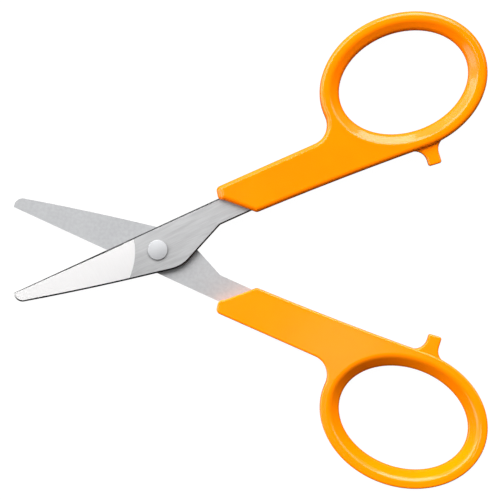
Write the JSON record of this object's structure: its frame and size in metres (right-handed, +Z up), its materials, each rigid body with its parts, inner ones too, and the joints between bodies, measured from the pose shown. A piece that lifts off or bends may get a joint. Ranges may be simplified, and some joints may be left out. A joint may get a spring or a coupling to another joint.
{
  "type": "thread snips",
  "caption": "Small ring-handled snips: two flat steel blades crossed on a domed rivet, each with a moulded handle that has an oval finger ring and a stop nub.",
  "frame": {"origin": "middle of the footprint of the part lying half open on a table, at the height of the table", "axes": "+X from the blade tips to the finger rings along the bisector of the opening, +Y towards the front half's handle, +Z up, along the rivet, out of the front blade's outer face"},
  "size_m": [0.1182, 0.119, 0.0064],
  "materials": {
    "front_blade": "brushed",
    "rear_blade": "brushed",
    "front_handle": "gloss",
    "rear_handle": "gloss",
    "pivot_rivet": "satin",
    "rivet_washer": "brushed"
  },
  "bodies": {
    "front_half": {"front_blade": "front_blade", "front_handle": "front_handle", "pivot_rivet": "pivot_rivet", "rivet_washer": "rivet_washer"},
    "rear_half": {"rear_blade": "rear_blade", "rear_handle": "rear_handle"}
  },
  "joints": [
    {"name": "pivot", "type": "hinge", "parent": "front_half", "child": "rear_half", "pos_m": [-0.02316, 0, 0.0032], "axis": [0, 0, 1], "range_deg": [-104, 34.2]}
  ]
}
